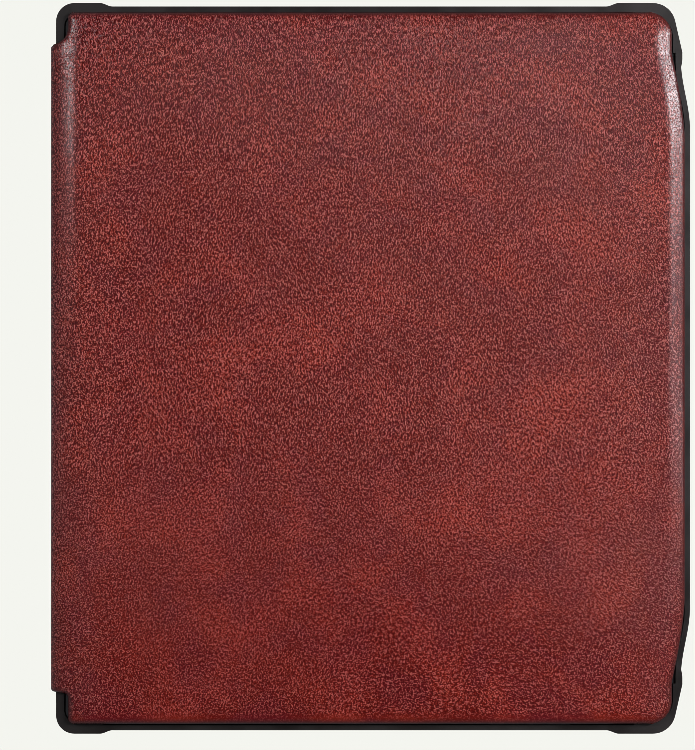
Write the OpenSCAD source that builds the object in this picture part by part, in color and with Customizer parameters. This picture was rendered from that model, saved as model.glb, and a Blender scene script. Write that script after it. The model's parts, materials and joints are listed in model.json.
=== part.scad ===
// E-reader shut in a book-style folio case. Millimetres. X is the width, with the spine on the left.
// Y is up the page and Z is the thickness, with the back of the case on Z = 0 and the flap on top.

/* [Case] */
// Overall width, from the outside of the spine to the bowed right edge
case_w = 139.7; // [139.3:0.1:140.5]
// Overall height over the corner guards
case_h = 159.6; // [159.2:0.1:160.4]
// How far the corner guards stand proud of the tray's top and bottom walls
guard_proud = 0.75; // [0.5:0.05:0.9]
// Thickness of the leather on the back, the spine and the flap
leather_t = 0.9; // [0.8:0.05:1]
// Thickness of the tray's floor
tray_floor = 1.2; // [1:0.1:1.4]
// Length of the leather spine
spine_len = 141.2; // [138:0.1:142]

/* [Flap] */
// Height of the flap, measured up the page
flap_h = 155.1; // [155:0.1:156]
// Thickness of the stiff board inside the flap
board_t = 1; // [0.9:0.05:1.2]
// Thickness of the microfibre lining
lining_t = 0.5; // [0.4:0.05:0.6]
// Gap between the closed flap and the reader's face
flap_gap = 0.3; // [0.25:0.05:0.4]

/* [Reader] */
// Thickness of the reader
reader_t = 7.8; // [7.8:0.1:8]
// Height of the reader
reader_h = 155.5; // [155.3:0.1:155.6]
// Width of the visible screen
screen_w = 106.9; // [105:0.1:107.5]
// Height of the visible screen
screen_h = 142.4; // [140:0.1:142.6]

/* [Buttons] */
// Length of a page button
page_len = 24; // [18:1:25]
// Width of a page button
page_w = 5; // [4:0.5:6]
// Distance of each page button's centre from the middle of the grip
page_offset = 17; // [16:0.5:17.5]
// Width of the power button
power_w = 11.6; // [9:0.2:12]

/* [Hidden] */
$fn = 64;
eps = 0.5;                                  // how far a cut runs past the face it opens

// Heights of the layers
z_tray = leather_t;
z_reader = z_tray + tray_floor;
z_front = z_reader + reader_t;
z_flap = z_front + flap_gap;
z_board = z_flap + lining_t;
z_skin = z_board + board_t;
z_top = z_skin + leather_t;

// Tray
x_spine = -case_w / 2;                      // outside of the spine
x_bulge = case_w / 2;                       // right edge where it bows out
tray_l = x_spine + leather_t + 0.35;        // left side, just inside the spine
tray_r = x_bulge - 1.95;                    // right side above and below the bow
guard_r = tray_r + 0.3;                     // right side at the corner guards
wall_y = case_h / 2 - guard_proud;          // top and bottom walls between the guards
corner_l = 4;                               // outer corner radius on the spine side
corner_r = 5;                               // outer corner radius on the grip side
corner_lean = 1.45;                         // how far the grip side's corners lean in from its guards
guard_wide = 69;                            // where the grip side's guards are widest, up the page
guard_len_l = 9.6;                          // length of a guard along the top, spine side
guard_len_r = 13.9;                         // length of a guard along the top, grip side
guard_ramp = 2.7;                           // length of the ramp at a guard's end
guard_end = [67.6, 65.2];                   // where the grip side's guards end, up the page
bow_flat = 52.5;                            // half the straight length of the bowed edge
bow_end = 67;                               // where the bow meets the straight side
ramp_steps = 10;                            // straight pieces in an eased ramp
fit_gap = 0.1;                              // clearance between the reader and the tray
lip_w = 0.6;                                // how far a guard's lip reaches over the reader
lip_t = 0.7;
lip_len = 9;                                // length of a lip along each side of its corner
window_z = [z_reader + 0.2, z_front - 1.4]; // height of the openings in the bottom wall
plug_window_w = 13.2;                       // opening for the charging plug
power_window = [26, 44];                    // opening for the power button, along X

// Reader
side_wall = 1.3;                            // the tray's wall beside the reader
reader_l = tray_l + side_wall;
reader_r = tray_r - side_wall;
reader_bow = x_bulge - 1.25;
reader_corner_l = 3;
reader_corner_r = 5.3;
reader_y = reader_h / 2;
shell_t = 1;                                // wall and floor of the rear housing
rim_step = 0.8;                             // how far the bezel is set in from the housing
z_inside = z_reader + shell_t;
z_rim = z_front - rim_step;                 // top of the housing's wall, under the bezel
bezel_t = rim_step;

// Display stack, from the bezel downwards
side_bezel = 5.25;                          // the narrow bezel beside the screen
screen_l = reader_l + side_bezel;
screen_r = screen_l + screen_w;
stack_l = screen_l - 2;
stack_r = screen_r + 2.6;
stack_top = screen_h / 2 + 2.3;
stack_bot = -screen_h / 2 - 1.2;
glass_t = 0.3;
touch_t = 0.3;
guide_t = 0.4;
panel_t = 0.9;
z_glass = z_rim - glass_t;
z_touch = z_glass - touch_t;
z_guide = z_touch - guide_t;
z_panel = z_guide - panel_t;

// Middle frame
frame_t = 0.8;
z_frame = z_panel - frame_t;
frame_l = reader_l + shell_t + 0.1;
frame_r = stack_r + 2;
frame_y = reader_y - shell_t - 0.15;
frame_corner_l = 1.8;
frame_corner_r = 0.6;
tape_t = 0.1;                               // adhesive under the bezel
// Opening in the frame for the display and its lamps: left, right, bottom, top
tub = [stack_l - 0.3, stack_r + 0.3, stack_bot - 1.6, stack_top + 0.3];
port_notch_w = 12.4;                        // notch in the frame over the charging port
port_notch_len = 8;

// Main board
pcb_t = 0.8;
z_pcb = z_inside + 1.2;
z_parts = z_pcb + pcb_t;
board_xy = [[-13, -75], [61, -75], [61, 30], [14, 30], [14, -36], [-13, -36]];
// Parts on the board: left, right, bottom, top, height
processor_at = [27, 40, -9, 4, 0.8];
shield_at = [24, 43, -12, 7, 1.1];
shield_wall = [0.2, 0.15];                  // side and top of the shield
memory_at = [22, 33.5, -31, -18, 0.9];
radio_at = [26, 38, 14, 26, 1.1];
battery_socket = [17, 20, -23, -17, 1];
display_socket = [frame_r + 1, frame_r + 5, 3, 21, 0.6];
button_socket = [52, 60, -42, -38.6, 0.6];
board_screw_at = [[-10, -66], [-10, -40], [18, 26], [57, 26], [57, -69]];
frame_screw_at = [[-61, 71], [-61, -71], [-61, 5], [10, 70], [44, 68], [-24, -70], [40, -66]];
boss_r = 1.6;
boss_hole_r = 0.7;
shank_r = 0.65;
head_r = 1.3;
head_t = 0.5;

// Battery
battery_x = [-56, 6];
battery_y = [-28, 60];
battery_t = 2.8;
battery_tape_t = 0.2;
battery_tape_w = 10;
lead_y = -20;                               // middle wire of the battery's lead
lead_pitch = 1.2;
lead_r = 0.4;

// Ribbons
ribbon_t = 0.15;
display_ribbon_y = [4, 20];
display_ribbon_x = frame_r + 0.6;           // where it turns down past the frame

// Antenna under the top edge, and its coaxial lead
antenna_at = [20, 37, 73, 74.4];
antenna_h = 2.6;
coax_x = 32;
coax_len = 43;
coax_r = 0.45;

// Charging port
port_w = 8.94;
port_t = 3;
port_len = 7.4;
port_wall = 0.3;
port_back = 1.2;
tongue_w = 6.6;
tongue_t = 0.7;
seal_w = 0.8;                               // how far the seal stands out round the port
seal_t = 1;
port_y = -reader_y + 0.15;
z_port = z_inside + 2.3;

// Buttons
button_x = 58;
button_gap = 0.2;
button_flange = 1;
button_top = z_front + 0.1;
button_board_w = 12;
button_board_len = 68;
button_board_z = [z_rim - 2.2, z_rim - 1.6];
rib_y = 33.2;                               // ribs of the bezel that hold the button board down
rib_t = 1.2;
gasket_gap = 0.2;
gasket_w = 0.7;
gasket_t = 0.6;
power_x = 36;
power_t = 2.4;
power_z = z_inside + 1.7;
power_travel = 0.4;
light_x = power_x - 8.5;                    // charging light beside the power button
light_r = 0.6;

// Magnets
magnet_x = 62.6;
magnet_y = 44;
reader_magnet = [3, 12, 2.8];
cover_magnet_r = 2.5;
wake_xy = [56, -58];
wake_r = 2;

// ---------- outlines ----------

// Rectangle from (x0, y0) to (x1, y1) with its own corner radius on the left and on the right
module plate(x0, y0, x1, y1, rl, rr) {
    translate([x0 + rl, y0]) square([x1 - x0 - rl - rr, y1 - y0]);
    translate([x0, y0 + rl]) square([rl + eps, y1 - y0 - 2 * rl]);
    translate([x1 - rr - eps, y0 + rr]) square([rr + eps, y1 - y0 - 2 * rr]);
    for (y = [y0 + rl, y1 - rl]) translate([x0 + rl, y]) circle(rl);
    for (y = [y0 + rr, y1 - rr]) translate([x1 - rr, y]) circle(rr);
}

// Slot with round ends, centred, w wide in X and h high in Y
module slot(w, h) {
    r = min(w, h) / 2;
    square([w - (w > h ? 2 * r : 0), h - (h > w ? 2 * r : 0)], center = true);
    for (s = [-1, 1]) translate([s * (w / 2 - r), s * (h / 2 - r)]) circle(r);
}

// Eases from 0 to 1 with no kink at either end
function ease(t) = t * t * (3 - 2 * t);

// Points that ease from p to q: along leads, and the other axis follows ease()
function ramp_x(p, q) = [for (i = [0 : ramp_steps]) let (t = i / ramp_steps)
    [p[0] + (q[0] - p[0]) * t, p[1] + (q[1] - p[1]) * ease(t)]];
function ramp_y(p, q) = [for (i = [0 : ramp_steps]) let (t = i / ramp_steps)
    [p[0] + (q[0] - p[0]) * ease(t), p[1] + (q[1] - p[1]) * t]];

// The bowed stretch of the right edge: inner x, straight side x, bowed x
module bow(x_in, x_side, x_out) {
    polygon(concat(
        [[x_in, -bow_end]], ramp_y([x_side, -bow_end], [x_out, -bow_flat]),
        ramp_y([x_out, bow_flat], [x_side, bow_end]), [[x_in, bow_end]]
    ));
}

// Outline of the reader, grown by g on every side
module reader_outline(g = 0) {
    plate(reader_l - g, -reader_y - g, reader_r + g, reader_y + g,
        reader_corner_l + g, reader_corner_r + g);
    bow(reader_r - 8, reader_r + g, reader_bow + g);
}

// One corner guard on the top edge: the corner's centre, its radius, and how far it runs along the edge
module guard(cx, cy, r, run) {
    s = sign(run);
    translate([cx, cy]) circle(r);
    end = cx + run + s * guard_ramp;
    polygon(concat(
        [[cx, cy - 1], [cx, cy + r]], ramp_x([cx + run, cy + r], [end, wall_y]), [[end, cy - 1]]
    ));
}

// Direction from a circle's centre c to where a line from p touches it
function touch(c, p, r) = let (d = p - c, a = atan2(d[1], d[0]) + acos(r / norm(d))) [cos(a), sin(a)];

module tray_outline() {
    y_l = case_h / 2 - corner_l;
    y_r = case_h / 2 - corner_r;
    x_r = guard_r - corner_lean - corner_r;
    centre = [x_r, y_r];
    widest = [guard_r, guard_wide];
    translate([tray_l + corner_l, -wall_y]) square([x_r - tray_l - corner_l, 2 * wall_y]);
    translate([tray_l, -y_l]) square([corner_l + eps, 2 * y_l]);
    translate([x_r - eps, -guard_end[1]]) square([tray_r - x_r + eps, 2 * guard_end[1]]);
    for (m = [0, 1]) mirror([0, m, 0]) {
        guard(tray_l + corner_l, y_l, corner_l, guard_len_l - corner_l);
        guard(x_r, y_r, corner_r, guard_r - guard_len_r - x_r);
        polygon(concat([centre, centre + corner_r * touch(centre, widest, corner_r), widest],
            ramp_y([guard_r, guard_end[0]], [tray_r, guard_end[1]]), [[x_r, guard_end[1]]]));
    }
    bow(tray_r - 8, tray_r, x_bulge);
}

flap_mid = 0.05;                            // the flap sits a little high on the tray
flap_l = tray_l + 2.6;                      // left edge beyond the ends of the spine
flap_crest = x_spine + 0.35;                // left edge where the leather turns down the spine
flap_r = x_bulge - 4;
flap_bow = x_bulge - 1.25;
flap_corner = 5;

// Outline of the flap, set in by g
module flap_outline(g = 0) {
    h = flap_h / 2 - g;
    translate([0, flap_mid]) {
        plate(flap_l + g, -h, flap_r - g, h, 1.3, flap_corner - g);
        polygon([
            [flap_r - 8, -70], [flap_r - g, -70], [flap_bow - 0.8 - g, -61], [flap_bow - g, -54],
            [flap_bow - g, 54], [flap_bow - 0.8 - g, 61], [flap_r - g, 70], [flap_r - 8, 70]
        ]);
    }
}

module bar(x0, x1, y0, y1, z0, z1) {
    translate([x0, y0, z0]) cube([x1 - x0, y1 - y0, z1 - z0]);
}

module slab(z0, z1) {
    translate([0, 0, z0]) linear_extrude(z1 - z0) children();
}

// A bar along Y whose ends are in the XZ plane: used for openings and pieces in the bottom edge
module edge_slot(x, z, w, h, y0, y1) {
    translate([x, y1, z]) rotate([90, 0, 0]) linear_extrude(y1 - y0) slot(w, h);
}

// ---------- case ----------

module case_shell() color("#1d1a19") {
    difference() {
        slab(z_tray, z_front) tray_outline();
        slab(z_reader, z_front + eps) reader_outline(fit_gap);
        for (x = [[-plug_window_w / 2, plug_window_w / 2], power_window])
            bar(x[0], x[1], -case_h, -reader_y + eps, window_z[0], window_z[1]);
    }
    // Lips on the four guards, over the step round the reader's face
    slab(z_front - lip_t, z_front) for (m = [0, 1]) mirror([0, m, 0]) {
        lip(reader_l - fit_gap, 1);
        lip(reader_r + fit_gap, -1);
    }
}

// A lip that follows one inner corner of the tray, at side x, with s pointing to the middle
module lip(x, s) {
    y = reader_y + fit_gap;
    difference() {
        intersection() {
            translate([min(x, x + s * lip_len), y - lip_len]) square(lip_len);
            reader_outline(fit_gap + 0.2);
        }
        reader_outline(fit_gap - lip_w);
    }
}

module back_leather() color("#6d2c26") {
    slab(0, leather_t) {
        plate(tray_l, -wall_y + 0.6, guard_r - 1.2, wall_y - 0.6, 3, 6);
        bow(tray_r - 8, guard_r - 1.2, x_bulge - 0.6);
    }
}

module spine_leather() color("#6d2c26") {
    bar(x_spine, x_spine + leather_t, -spine_len / 2, spine_len / 2, 1.2, z_skin - 0.3);
}

module spine_lining() color("#5d5450") {
    bar(x_spine + leather_t, tray_l - 0.1, -spine_len / 2 + 0.8, spine_len / 2 - 0.8, 1.5, z_skin - 0.6);
}

// Skin of the flap with its turned-down edges; on the left it runs on to the spine
module cover_leather() color("#7a312a") {
    difference() {
        union() {
            slab(z_flap, z_top) flap_outline();
            slab(z_skin, z_top) polygon([
                [flap_l + 1, -74], [flap_l, -74], [flap_crest, -spine_len / 2 + 0.6],
                [flap_crest, spine_len / 2 - 0.6], [flap_l, 74], [flap_l + 1, 74]
            ]);
        }
        slab(z_flap - eps, z_skin) flap_outline(leather_t);
    }
}

module cover_board() color("#8b8176") {
    difference() {
        slab(z_board, z_skin) flap_outline(leather_t + 0.05);
        for (y = [-magnet_y, magnet_y]) translate([magnet_x - 1, y, z_board - eps])
            cylinder(r = cover_magnet_r + 0.1, h = board_t + 2 * eps);
        translate([wake_xy[0], wake_xy[1], z_board - eps])
            cylinder(r = wake_r + 0.1, h = board_t + 2 * eps);
    }
}

module cover_lining() color("#6b625d") {
    slab(z_flap, z_board) flap_outline(leather_t + 0.05);
}

module cover_magnets() color("#b9bcc0") {
    for (y = [-magnet_y, magnet_y]) translate([magnet_x - 1, y, z_board + 0.05])
        cylinder(r = cover_magnet_r, h = board_t - 0.1);
}

module wake_magnet() color("#b9bcc0") {
    translate([wake_xy[0], wake_xy[1], z_board + 0.05]) cylinder(r = wake_r, h = board_t - 0.1);
}

// ---------- reader: housing and frame ----------

module rear_housing() color("#232325") {
    difference() {
        slab(z_reader, z_rim) reader_outline();
        slab(z_inside, z_rim + eps) reader_outline(-shell_t);
        edge_slot(0, z_port, port_w + 0.3, port_t + 0.3, -reader_y - eps, -reader_y + shell_t + eps);
        edge_slot(power_x, power_z, power_w + 2 * button_gap, power_t + 2 * button_gap,
            -reader_y - eps, -reader_y + shell_t + eps);
        edge_slot(light_x, power_z, 2 * light_r + 0.1, 2 * light_r + 0.1,
            -reader_y - eps, -reader_y + shell_t + eps);
    }
    for (p = frame_screw_at) boss(p, z_frame);
    for (p = board_screw_at) boss(p, z_pcb);
}

// A screw boss that stands on the housing's floor up to height z
module boss(p, z) {
    translate([p[0], p[1], z_inside - 0.2]) difference() {
        cylinder(r = boss_r, h = z - z_inside + 0.2);
        translate([0, 0, 0.4]) cylinder(r = boss_hole_r, h = z - z_inside + eps);
    }
}

// A pan or flush screw whose head's top is at height z
module screw(p, z, length) {
    translate([p[0], p[1], z - head_t]) cylinder(r = head_r, h = head_t);
    translate([p[0], p[1], z - length]) cylinder(r = shank_r, h = length - head_t + 0.1);
}

module board_screws() color("#9a9da1") {
    for (p = board_screw_at) screw(p, z_parts + head_t, head_t + pcb_t + 0.9);
}

module frame_screws() color("#9a9da1") {
    for (p = frame_screw_at) screw(p, z_panel, 2.6);
}

module frame_plate() {
    plate(frame_l, -frame_y, frame_r, frame_y, frame_corner_l, frame_corner_r);
}

module mid_frame() color("#9da0a3") {
    difference() {
        slab(z_frame, z_rim - tape_t) frame_plate();
        bar(tub[0], tub[1], tub[2], tub[3], z_panel, z_rim);
        // Over the charging port, and deeper over the seal round its mouth
        bar(-port_notch_w / 2, port_notch_w / 2, -frame_y - eps, -frame_y + port_notch_len,
            z_frame - eps, z_panel);
        bar(-port_notch_w / 2, port_notch_w / 2, -frame_y - eps, -reader_y + shell_t + seal_t + 0.3,
            z_frame, z_port + port_t / 2 + seal_w);
        // Under the display's ribbon
        bar(stack_r, frame_r + eps, display_ribbon_y[0] - 2, display_ribbon_y[1] + 2,
            z_panel, z_panel + 0.5);
        for (p = frame_screw_at) translate([p[0], p[1], z_frame - eps]) {
            cylinder(r = shank_r + 0.15, h = frame_t + 2 * eps);
            translate([0, 0, eps + frame_t - head_t - 0.05]) cylinder(r = head_r + 0.1, h = head_t + eps);
        }
    }
}

module bezel_adhesive() color("#15181a") {
    slab(z_rim - tape_t, z_rim) difference() {
        frame_plate();
        translate([tub[0], tub[2]]) square([tub[1] - tub[0], tub[3] - tub[2]]);
    }
}

module front_bezel() color("#2a2a2c") {
    difference() {
        slab(z_rim, z_front) difference() {
            reader_outline(-rim_step);
            translate([screen_l, -screen_h / 2]) square([screen_w, screen_h]);
        }
        for (s = [-1, 1]) translate([button_x, s * page_offset, z_rim - eps])
            linear_extrude(bezel_t + 2 * eps) slot(page_w + 2 * button_gap, page_len + 2 * button_gap);
    }
    for (y = [-rib_y, rib_y]) bar(button_x - button_board_w / 2, button_x + button_board_w / 2,
        y - rib_t / 2, y + rib_t / 2, button_board_z[1], z_rim);
}

// ---------- reader: display ----------

module epaper_panel() color("#d9d8d2") {
    bar(stack_l, stack_r, stack_bot, stack_top, z_panel, z_guide);
}

module light_guide() color("#e9eef0") {
    bar(stack_l, stack_r, stack_bot, stack_top, z_guide, z_touch);
}

module touch_sensor() color("#c9d2d4") {
    bar(stack_l, stack_r, stack_bot, stack_top, z_touch, z_glass);
}

module screen_glass() color("#eceae4") {
    bar(stack_l, stack_r, stack_bot, stack_top, z_glass, z_rim);
}

// Row of lamps on a flexible strip along the lower edge of the light guide
module led_bar() color("#f2ead2") {
    n = 12;
    bar(stack_l + 4, stack_r - 4, stack_bot - 1.3, stack_bot - 1.1, z_panel + 0.1, z_glass);
    for (i = [0 : n - 1]) {
        x = stack_l + 9 + i * (stack_r - stack_l - 20) / (n - 1);
        bar(x, x + 2.4, stack_bot - 1.15, stack_bot - 0.1, z_guide, z_touch);
    }
}

// Ribbon from the panel over the frame's edge and down to its socket on the main board
module display_flex() color("#b87a2e") {
    x = display_ribbon_x;
    y = display_ribbon_y;
    z = z_parts + display_socket[4];
    bar(stack_r, x + ribbon_t, y[0], y[1], z_panel + 0.1, z_panel + 0.1 + ribbon_t);
    bar(x, x + ribbon_t, y[0], y[1], z, z_panel + 0.15);
    bar(x + 0.1, x + 2.4, y[0], y[1], z, z + ribbon_t);
}

// ---------- reader: electronics ----------

module battery() color("#3a3f45") {
    slab(z_inside + battery_tape_t, z_inside + battery_tape_t + battery_t)
        plate(battery_x[0], battery_y[0], battery_x[1], battery_y[1], 1.5, 1.5);
}

module battery_tape() color("#c7bda4") {
    for (x = [battery_x[0] + 8, battery_x[1] - 8 - battery_tape_w])
        bar(x, x + battery_tape_w, battery_y[0] + 6, battery_y[1] - 6, z_inside, z_inside + battery_tape_t);
}

// Three wires from the battery's edge to its socket on the main board
module battery_lead() color("#a32620") {
    for (i = [-1 : 1]) translate([battery_x[1], lead_y + lead_pitch * i, z_parts + battery_socket[4] / 2])
        rotate([0, 90, 0]) cylinder(r = lead_r, h = battery_socket[0] - battery_x[1]);
}

module main_board() color("#1f5a3c") {
    difference() {
        slab(z_pcb, z_parts) polygon(board_xy);
        bar(-port_w / 2 - 0.2, port_w / 2 + 0.2, -reader_y, port_y + port_len + 0.2,
            z_pcb - eps, z_parts + eps);
        // The last of the frame's bosses stands up through the board
        board_hole(frame_screw_at[len(frame_screw_at) - 1], boss_r + 0.4);
        for (p = board_screw_at) board_hole(p, shank_r + 0.15);
    }
}

module board_hole(p, r) {
    translate([p[0], p[1], z_pcb - eps]) cylinder(r = r, h = pcb_t + 2 * eps);
}

// A block on the main board, given by left, right, bottom, top and height
module on_board(at) {
    bar(at[0], at[1], at[2], at[3], z_parts, z_parts + at[4]);
}

module board_connectors() color("#d8cdb4") {
    on_board(display_socket);
    on_board(battery_socket);
    on_board(button_socket);
}

module processor_chip() color("#17181a") on_board(processor_at);

// Pressed can over the processor
module processor_shield() color("#b4b7b9") {
    difference() {
        on_board(shield_at);
        bar(shield_at[0] + shield_wall[0], shield_at[1] - shield_wall[0],
            shield_at[2] + shield_wall[0], shield_at[3] - shield_wall[0],
            z_parts - eps, z_parts + shield_at[4] - shield_wall[1]);
    }
}

module memory_chip() color("#17181a") on_board(memory_at);

module radio_module() color("#aeb1b4") on_board(radio_at);

module hall_sensor() color("#17181a") {
    on_board([wake_xy[0] - 1.5, wake_xy[0] + 1.5, wake_xy[1] - 0.8, wake_xy[1] + 0.8, 0.7]);
}

module wifi_antenna() color("#c99a4a") {
    bar(antenna_at[0], antenna_at[1], antenna_at[2], antenna_at[3], z_inside, z_inside + antenna_h);
}

module antenna_lead() color("#2c2c2e") {
    translate([coax_x, antenna_at[2], z_inside + 1.2]) rotate([90, 0, 0])
        cylinder(r = coax_r, h = coax_len);
}

module usb_port() color("#c3c6c9") {
    difference() {
        edge_slot(0, z_port, port_w, port_t, port_y, port_y + port_len);
        edge_slot(0, z_port, port_w - 2 * port_wall, port_t - 2 * port_wall, port_y - eps,
            port_y + port_len - port_back);
    }
    bar(-tongue_w / 2, tongue_w / 2, port_y + 0.6, port_y + port_len - port_back + 0.2,
        z_port - tongue_t / 2, z_port + tongue_t / 2);
}

module usb_seal() color("#3b3b3f") {
    y = -reader_y + shell_t;
    difference() {
        edge_slot(0, z_port, port_w + 2 * seal_w, port_t + 2 * seal_w - 0.4, y, y + seal_t);
        edge_slot(0, z_port, port_w + 0.1, port_t + 0.1, y - eps, y + seal_t + eps);
    }
}

// Clear pin that carries the charging light to the bottom edge
module status_light() color("#e8e3d6") {
    translate([light_x, -reader_y + 2.4, power_z]) rotate([90, 0, 0]) cylinder(r = light_r, h = 2.3);
}

module reader_magnets() color("#b9bcc0") {
    for (y = [-magnet_y, magnet_y])
        translate([magnet_x, y - reader_magnet[1] / 2, z_inside]) cube(reader_magnet);
}

// ---------- buttons ----------

module button_board() color("#1f5a3c") {
    bar(button_x - button_board_w / 2, button_x + button_board_w / 2,
        -button_board_len / 2, button_board_len / 2, button_board_z[0], button_board_z[1]);
}

module dome_switches() color("#cfd2d4") {
    for (s = [-1, 1]) translate([button_x, s * page_offset, button_board_z[1]]) {
        cylinder(r = 2, h = 0.25);
        cylinder(r = 1.3, h = 0.5);
    }
}

// Ribbon that runs down from the end of the button board to the main board
module button_flex() color("#b87a2e") {
    t = ribbon_t;
    z0 = z_parts + button_socket[4];
    z1 = button_board_z[0];
    y0 = -40;
    y1 = -31;
    turn = -35.2;
    translate([button_x - 4, 0, 0]) rotate([90, 0, 90]) linear_extrude(5) polygon([
        [y1, z1], [y1, z1 - t], [turn, z1 - t], [turn, z0 + t], [y0, z0 + t],
        [y0, z0], [turn + t, z0], [turn + t, z1 - 2 * t], [y1 + 0.2, z1 - 2 * t], [y1 + 0.2, z1]
    ]);
}

module button_gaskets() color("#3b3b3f") {
    inner = 2 * (button_flange + gasket_gap);
    outer = inner + 2 * gasket_w;
    for (s = [-1, 1]) translate([button_x, s * page_offset, z_rim - gasket_t]) linear_extrude(gasket_t)
        difference() {
            slot(page_w + outer, page_len + outer);
            slot(page_w + inner, page_len + inner);
        }
}

// Cap, retaining flange under the bezel, and the nib that presses the dome
module page_button(s) {
    translate([button_x, s * page_offset, 0]) {
        slab(z_rim - 0.3, button_top) slot(page_w, page_len);
        slab(z_rim - 0.5, z_rim - 0.1) slot(page_w + 2 * button_flange, page_len + 2 * button_flange);
        translate([0, 0, z_rim - 0.68]) cylinder(r = 1, h = 0.3);
    }
}

module page_forward_button() color("#303033") page_button(1);

module page_back_button() color("#303033") page_button(-1);

module power_button() color("#303033") {
    y_in = -reader_y + shell_t + 0.1;
    edge_slot(power_x, power_z, power_w, power_t, -reader_y - 0.2, y_in + 0.2);
    edge_slot(power_x, power_z, power_w + 1.8, power_t + 0.6, y_in, y_in + 0.5);
    edge_slot(power_x, power_z, 3, 1.6, y_in + 0.3, y_in + 1);
}

module power_switch() color("#cfd2d4") {
    y = -reader_y + shell_t + 1.1 + power_travel + 0.1;
    bar(power_x - 3, power_x + 3, y, y + 1.4, z_parts, z_parts + 1.1);
}

// ---------- what is drawn ----------

case_shell();
back_leather();
spine_leather();
spine_lining();
cover_leather();
cover_board();
cover_lining();
cover_magnets();
wake_magnet();
rear_housing();
reader_magnets();
battery();
battery_tape();
battery_lead();
main_board();
board_connectors();
processor_chip();
processor_shield();
memory_chip();
radio_module();
hall_sensor();
wifi_antenna();
antenna_lead();
usb_port();
usb_seal();
status_light();
board_screws();
mid_frame();
frame_screws();
epaper_panel();
display_flex();
light_guide();
led_bar();
touch_sensor();
screen_glass();
bezel_adhesive();
front_bezel();
button_board();
dome_switches();
button_flex();
button_gaskets();
page_forward_button();
page_back_button();
power_button();
power_switch();
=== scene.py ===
"""E-reader in a folio case: the looks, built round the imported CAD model. Metres, Z up, closed at rest."""
import json
import math

import bmesh
import bpy
import numpy as np
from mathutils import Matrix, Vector
from mathutils.kdtree import KDTree


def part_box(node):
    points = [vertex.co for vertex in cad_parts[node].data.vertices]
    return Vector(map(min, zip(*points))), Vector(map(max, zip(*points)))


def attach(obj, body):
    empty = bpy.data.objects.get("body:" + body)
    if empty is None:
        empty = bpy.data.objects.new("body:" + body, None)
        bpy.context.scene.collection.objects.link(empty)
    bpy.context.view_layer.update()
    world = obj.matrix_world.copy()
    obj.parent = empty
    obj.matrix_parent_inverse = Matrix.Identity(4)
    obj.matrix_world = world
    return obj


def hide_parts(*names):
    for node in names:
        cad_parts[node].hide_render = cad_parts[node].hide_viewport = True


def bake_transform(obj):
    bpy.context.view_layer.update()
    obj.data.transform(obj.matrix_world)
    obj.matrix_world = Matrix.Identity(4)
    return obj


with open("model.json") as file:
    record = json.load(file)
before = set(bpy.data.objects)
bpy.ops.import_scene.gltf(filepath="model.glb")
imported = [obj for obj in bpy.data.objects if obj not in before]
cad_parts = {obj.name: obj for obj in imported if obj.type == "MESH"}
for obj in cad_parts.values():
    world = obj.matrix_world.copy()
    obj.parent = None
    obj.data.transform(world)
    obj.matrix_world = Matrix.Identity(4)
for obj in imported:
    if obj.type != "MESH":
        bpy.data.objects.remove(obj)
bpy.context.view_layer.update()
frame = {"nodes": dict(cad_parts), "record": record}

MM = 0.001
NODES = frame["nodes"]


def box_mm(node):
    """Lowest and highest corner of a CAD node, in millimetres."""
    low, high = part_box(node)
    return np.array(low) / MM, np.array(high) / MM


FLAP_LOW, FLAP_HIGH = box_mm("cover_leather")
SPINE_LOW, SPINE_HIGH = box_mm("spine_leather")
BACK_LOW, BACK_HIGH = box_mm("back_leather")
LINING_LOW = box_mm("cover_lining")[0]

# ---------------------------------------------------------------- camera, floor and light

DISTANCE = 0.62
AIM = Vector((-0.00495, -0.00145, 0.0105))
FRAME_HEIGHT = 0.16365                     # how much of the object's plane the picture's long side takes in


def make_camera():
    """Looks straight down, with the top of the cover at the top of the picture."""
    data = bpy.data.cameras.new("camera")
    data.sensor_width = 36
    data.lens = data.sensor_width * DISTANCE / FRAME_HEIGHT
    data.clip_start = 0.01
    data.clip_end = 20
    camera = bpy.data.objects.new("camera", data)
    camera.location = AIM + Vector((0, 0, DISTANCE))
    bpy.context.scene.collection.objects.link(camera)
    bpy.context.scene.camera = camera


def area_light(name, place, size, power, colour, aim):
    """A rectangular light in metres and watts that the camera doesn't see."""
    data = bpy.data.lights.new(name, "AREA")
    data.shape = "RECTANGLE"
    data.size, data.size_y = size
    data.energy = power
    data.color = colour
    light = bpy.data.objects.new(name, data)
    light.location = place
    light.rotation_mode = "QUATERNION"
    light.rotation_quaternion = (Vector(aim) - Vector(place)).to_track_quat("-Z", "Y")
    light.visible_camera = False
    bpy.context.scene.collection.objects.link(light)


PALE = (0.905, 0.913, 0.863, 1)            # the plain ground that the object lies on


def make_stage():
    """A plain pale floor, low enough for the open flap to hang clear of it."""
    mesh = bpy.data.meshes.new("floor")
    half = 3.0
    level = -0.16
    corners = [(-half, -half, level), (half, -half, level), (half, half, level), (-half, half, level)]
    mesh.from_pydata(corners, [], [(0, 1, 2, 3)])
    floor = bpy.data.objects.new("floor", mesh)
    bpy.context.scene.collection.objects.link(floor)
    material = bpy.data.materials.new("floor")
    material.use_nodes = True
    tree = material.node_tree
    tree.nodes.clear()
    out = tree.nodes.new("ShaderNodeOutputMaterial")
    glow = tree.nodes.new("ShaderNodeEmission")
    glow.inputs["Color"].default_value = PALE
    tree.links.new(glow.outputs[0], out.inputs["Surface"])
    mesh.materials.append(material)
    floor.visible_glossy = floor.visible_diffuse = False


SKY = (0.92, 0.94, 1.0, 1)
# The sky's strength by height of the direction: even up to 0.55, then falling until 0.95 of straight up
SKY_FALL = {"From Min": 0.55, "From Max": 0.95, "To Min": 0.26, "To Max": 0.04}


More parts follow.
